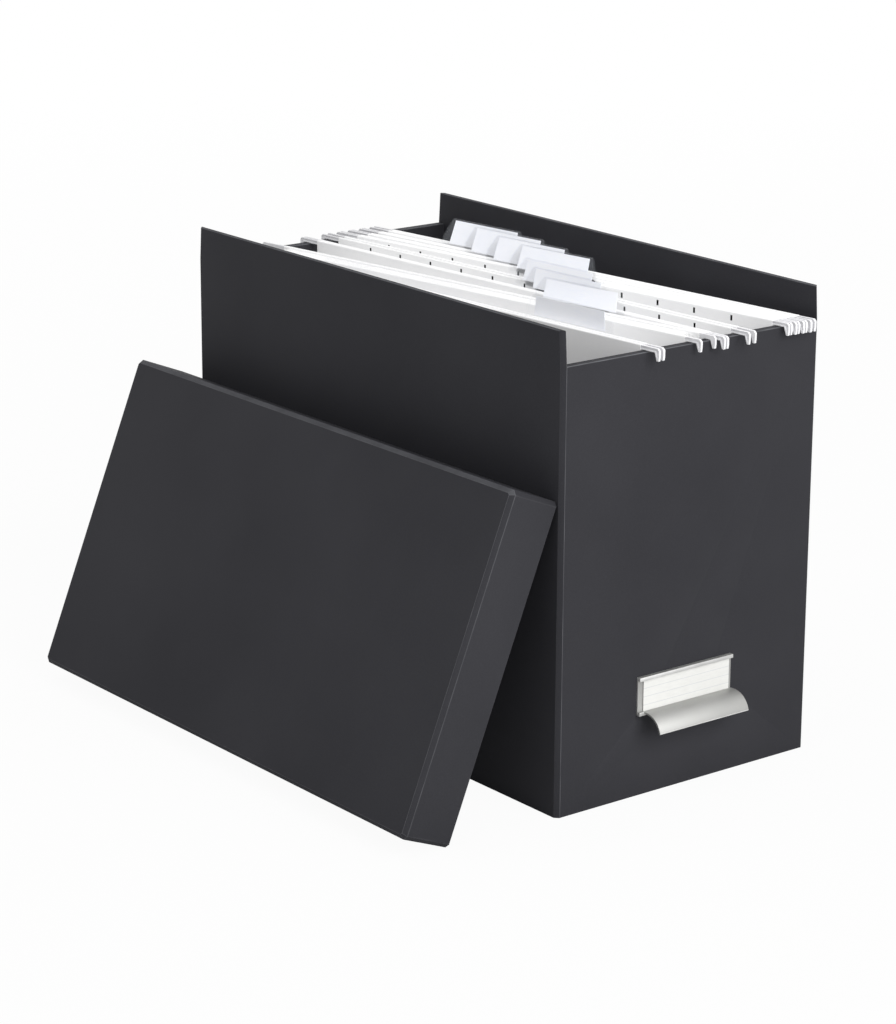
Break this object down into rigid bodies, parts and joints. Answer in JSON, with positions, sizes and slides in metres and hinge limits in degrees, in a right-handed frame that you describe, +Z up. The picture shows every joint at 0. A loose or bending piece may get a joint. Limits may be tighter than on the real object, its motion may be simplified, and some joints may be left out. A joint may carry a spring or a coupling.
{
  "type": "portable file box",
  "caption": "Open card box for hanging files: tabbed suspension files on its end walls, an aluminium pull with a label card, and its lift-off lid leaning on the front.",
  "frame": {"origin": "middle of the box's underside, on the floor", "axes": "+X along the box to the end wall with the label holder, -Y to the side that the lid leans on, +Z up"},
  "size_m": [0.3778, 0.2858, 0.27],
  "materials": {
    "dark_board": "matte charcoal paper over board, fine grain",
    "aluminium": "satin anodised",
    "rivet_metal": "plain",
    "label_card": "smooth white card",
    "white_paper": "smooth white file paper",
    "white_plastic": "moulded white plastic",
    "clear_plastic": "clear",
    "tab_card": "white card"
  },
  "bodies": {
    "box": {"base_board": "dark_board", "front_wall": "dark_board", "back_wall": "dark_board", "left_end_wall": "dark_board", "right_end_wall": "dark_board", "left_end_liner": "dark_board", "right_end_liner": "dark_board", "label_holder": "aluminium", "holder_rivets": "rivet_metal"},
    "label_card": {"label_card": "label_card"},
    "lid": {"lid_top_board": "dark_board", "lid_lower_rim": "dark_board", "lid_upper_rim": "dark_board", "lid_left_rim": "dark_board", "lid_right_rim": "dark_board"},
    "file_1": {"file_1_front_panel": "white_paper", "file_1_back_panel": "white_paper", "file_1_rails": "white_plastic", "file_1_tab": "clear_plastic", "file_1_insert": "tab_card"},
    "file_2": {"file_2_front_panel": "white_paper", "file_2_back_panel": "white_paper", "file_2_rails": "white_plastic", "file_2_tab": "clear_plastic", "file_2_insert": "tab_card", "file_2_folders": "white_paper"},
    "file_3": {"file_3_front_panel": "white_paper", "file_3_back_panel": "white_paper", "file_3_rails": "white_plastic", "file_3_tab": "clear_plastic", "file_3_insert": "tab_card"},
    "file_4": {"file_4_front_panel": "white_paper", "file_4_back_panel": "white_paper", "file_4_rails": "white_plastic", "file_4_tab": "clear_plastic", "file_4_insert": "tab_card"},
    "file_5": {"file_5_front_panel": "white_paper", "file_5_back_panel": "white_paper", "file_5_rails": "white_plastic", "file_5_tab": "clear_plastic", "file_5_insert": "tab_card"},
    "file_6": {"file_6_front_panel": "white_paper", "file_6_back_panel": "white_paper", "file_6_rails": "white_plastic", "file_6_tab": "clear_plastic", "file_6_insert": "tab_card"},
    "file_7": {"file_7_front_panel": "white_paper", "file_7_back_panel": "white_paper", "file_7_rails": "white_plastic", "file_7_tab": "clear_plastic", "file_7_insert": "tab_card"},
    "file_8": {"file_8_front_panel": "white_paper", "file_8_back_panel": "white_paper", "file_8_rails": "white_plastic", "file_8_tab": "clear_plastic", "file_8_insert": "tab_card"}
  },
  "joints": [
    {"name": "lid_lift", "type": "slide", "parent": "box", "child": "lid", "axis": [0, 0, 1], "range_m": [0, 0.3]},
    {"name": "label_card_slide", "type": "slide", "parent": "box", "child": "label_card", "axis": [0, 1, 0], "range_m": [-0.068, 0.068]},
    {"name": "file_1_lift", "type": "slide", "parent": "box", "child": "file_1", "axis": [0, 0, 1], "range_m": [0, 0.26]},
    {"name": "file_2_lift", "type": "slide", "parent": "box", "child": "file_2", "axis": [0, 0, 1], "range_m": [0, 0.26]},
    {"name": "file_3_lift", "type": "slide", "parent": "box", "child": "file_3", "axis": [0, 0, 1], "range_m": [0, 0.26]},
    {"name": "file_4_lift", "type": "slide", "parent": "box", "child": "file_4", "axis": [0, 0, 1], "range_m": [0, 0.26]},
    {"name": "file_5_lift", "type": "slide", "parent": "box", "child": "file_5", "axis": [0, 0, 1], "range_m": [0, 0.26]},
    {"name": "file_6_lift", "type": "slide", "parent": "box", "child": "file_6", "axis": [0, 0, 1], "range_m": [0, 0.26]},
    {"name": "file_7_lift", "type": "slide", "parent": "box", "child": "file_7", "axis": [0, 0, 1], "range_m": [0, 0.26]},
    {"name": "file_8_lift", "type": "slide", "parent": "box", "child": "file_8", "axis": [0, 0, 1], "range_m": [0, 0.26]}
  ]
}
